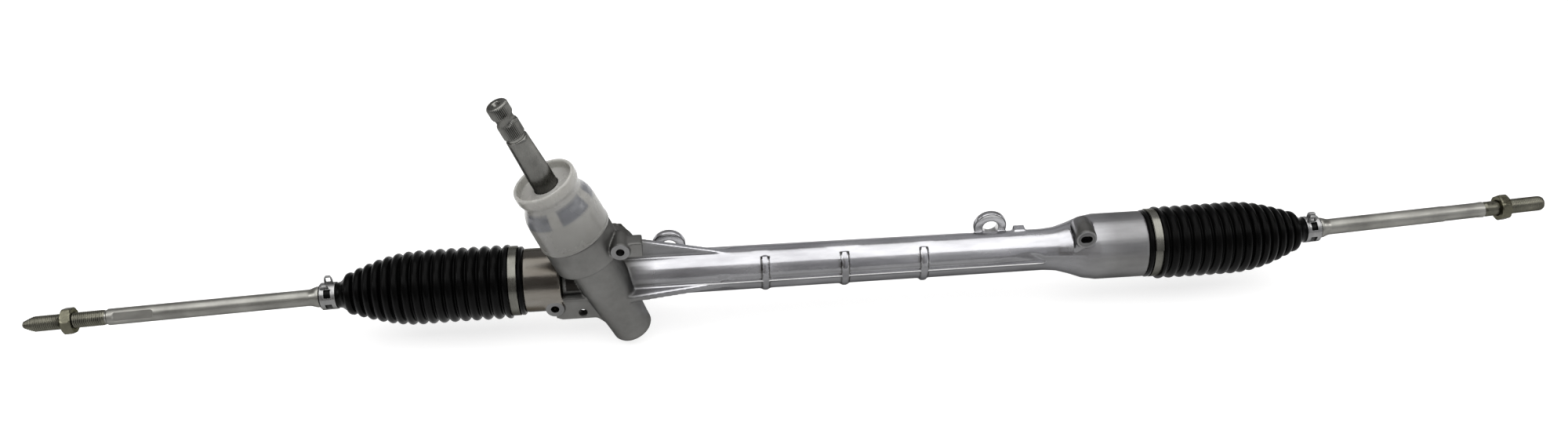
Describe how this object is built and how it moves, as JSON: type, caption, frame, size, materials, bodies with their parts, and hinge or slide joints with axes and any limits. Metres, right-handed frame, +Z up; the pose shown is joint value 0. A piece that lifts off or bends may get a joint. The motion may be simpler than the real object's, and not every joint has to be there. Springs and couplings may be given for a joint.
{
  "type": "steering rack",
  "caption": "Manual rack and pinion steering gear: cast housing with leaning pinion tower, ribbed bellows and jointed inner tie rods with threaded ends.",
  "frame": {"origin": "centre of the two mounting bolt holes on the rear face of the ears", "axes": "+X along the rack, from the pinion end to the far end; +Y to the rear, out of the ears' bolted face; +Z up"},
  "size_m": [1.2007, 0.0881, 0.2193],
  "materials": {
    "cast_aluminium": "satin",
    "rack_steel": "satin",
    "dark_steel": "satin",
    "bright_steel": "bright",
    "zinc_steel": "satin",
    "boot_rubber": "matte",
    "black_rubber": "matte",
    "milky_plastic": "translucent",
    "bearing_plastic": "matte",
    "rod_steel": "satin"
  },
  "bodies": {
    "housing": {"rack_housing": "cast_aluminium", "slot_sleeve": "zinc_steel", "rack_bush": "bearing_plastic", "bush_rings": "black_rubber", "bearing_outer_race": "bright_steel", "needle_shell": "bright_steel", "retaining_ring": "dark_steel", "pinion_seal": "black_rubber", "bottom_plug": "bright_steel", "dust_cover": "milky_plastic", "rack_yoke": "cast_aluminium", "yoke_liner": "bearing_plastic", "yoke_ring": "black_rubber", "yoke_spring": "dark_steel", "yoke_plug": "zinc_steel", "yoke_lock_nut": "zinc_steel", "boot_left": "boot_rubber", "boot_right": "boot_rubber", "large_clamp_left": "bright_steel", "large_clamp_right": "bright_steel"},
    "rack": {"rack_bar": "rack_steel", "ball_socket_left": "dark_steel", "ball_socket_right": "dark_steel", "lock_washer_left": "zinc_steel", "lock_washer_right": "zinc_steel"},
    "pinion": {"pinion_shaft": "dark_steel", "bearing_inner_race": "bright_steel"},
    "bearing_cage": {"bearing_balls": "bright_steel"},
    "needle_cage": {"needle_rollers": "bright_steel"},
    "left_seat": {"ball_seat_left": "bearing_plastic"},
    "right_seat": {"ball_seat_right": "bearing_plastic"},
    "left_rod": {"tie_rod_left": "rod_steel", "small_clamp_left": "bright_steel"},
    "right_rod": {"tie_rod_right": "rod_steel", "small_clamp_right": "bright_steel"},
    "left_nut": {"lock_nut_left": "zinc_steel"},
    "right_nut": {"lock_nut_right": "zinc_steel"}
  },
  "joints": [
    {"name": "rack_slide", "type": "slide", "parent": "housing", "child": "rack", "axis": [1, 0, 0], "range_m": [-0.0615, 0.0615], "deforming": ["boot_left", "boot_right"]},
    {"name": "pinion_spin", "type": "hinge", "parent": "housing", "child": "pinion", "pos_m": [-0.173, -0.0357, -0.0137], "axis": [-0.3584, 0, 0.9336], "range_deg": [-504.4, 504.4]},
    {"name": "bearing_roll", "type": "hinge", "parent": "housing", "child": "bearing_cage", "pos_m": [-0.18948, -0.0357, 0.02925], "axis": [-0.3584, 0, 0.9336], "range_deg": [-202.4, 202.4]},
    {"name": "needle_roll", "type": "hinge", "parent": "housing", "child": "needle_cage", "pos_m": [-0.16279, -0.0357, -0.04031], "axis": [-0.3584, 0, 0.9336], "range_deg": [-209.6, 209.6]},
    {"name": "left_rod_rise", "type": "hinge", "parent": "rack", "child": "left_seat", "pos_m": [-0.31, -0.0205, -0.0137], "axis": [0, 1, 0], "range_deg": [-19.4, 24.6]},
    {"name": "left_rod_swing", "type": "hinge", "parent": "left_seat", "child": "left_rod", "pos_m": [-0.31, -0.0205, -0.0137], "axis": [-0.0454, 0, 0.999], "range_deg": [-14, 14]},
    {"name": "right_rod_rise", "type": "hinge", "parent": "rack", "child": "right_seat", "pos_m": [0.314, -0.0205, -0.0137], "axis": [0, -1, 0], "range_deg": [-22.4, 21.6]},
    {"name": "right_rod_swing", "type": "hinge", "parent": "right_seat", "child": "right_rod", "pos_m": [0.314, -0.0205, -0.0137], "axis": [-0.007, 0, 1], "range_deg": [-18, 10]},
    {"name": "left_nut_turn", "type": "hinge", "parent": "left_rod", "child": "left_nut", "pos_m": [-0.58452, -0.0205, -0.02617], "axis": [-0.999, 0, -0.0454], "continuous": true},
    {"name": "right_nut_turn", "type": "hinge", "parent": "right_rod", "child": "right_nut", "pos_m": [0.54573, -0.0043, -0.01208], "axis": [0.9975, 0.0698, 0.007], "continuous": true}
  ],
  "couplings": [
    {"joint": "pinion_spin", "follows": "rack_slide", "rad_per_m": -142.86},
    {"joint": "bearing_roll", "follows": "rack_slide", "rad_per_m": -57.143},
    {"joint": "needle_roll", "follows": "rack_slide", "rad_per_m": -59.198}
  ]
}
